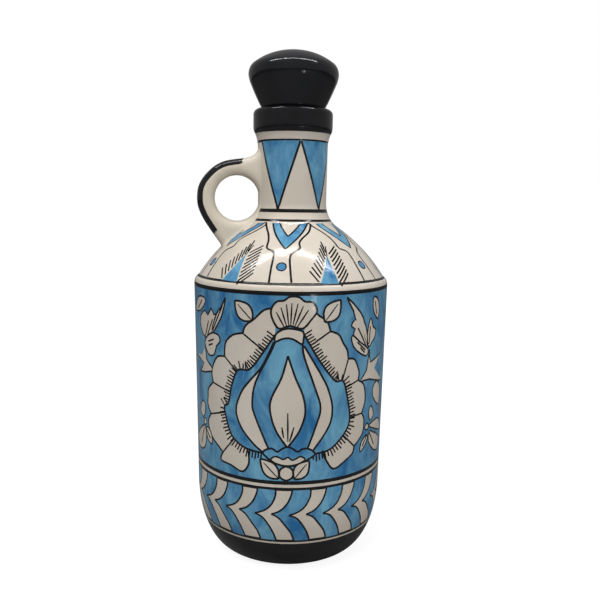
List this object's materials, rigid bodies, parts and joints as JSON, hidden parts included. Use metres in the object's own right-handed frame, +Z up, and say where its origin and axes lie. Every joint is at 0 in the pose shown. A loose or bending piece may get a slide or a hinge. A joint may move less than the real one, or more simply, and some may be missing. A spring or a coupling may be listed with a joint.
{
  "type": "ceramic jug",
  "caption": "Shouldered ceramic jug with a narrow neck, a finger loop at the neck and a glazed knob stopper on a cork.",
  "frame": {"origin": "middle of the flat foot, on the surface the jug stands on", "axes": "+Z up along the jug's axis; the painted front faces -Y; the finger loop stands towards -X, turned 6 degrees to the front"},
  "size_m": [0.1032, 0.1032, 0.2638],
  "materials": {
    "painted_glaze": "glossy cream glaze, hand-painted in blue and black",
    "cream_glaze": "glossy cream glaze with a black brush stripe",
    "black_glaze": "glossy black glaze",
    "cork": "natural cork"
  },
  "bodies": {
    "jug": {"jug_body": "painted_glaze", "finger_loop": "cream_glaze"},
    "stopper": {"stopper_knob": "black_glaze", "stopper_cork": "cork"}
  },
  "joints": [
    {"name": "stopper_lift", "type": "slide", "parent": "jug", "child": "stopper", "axis": [0, 0, 1], "range_m": [0, 0.06]}
  ]
}
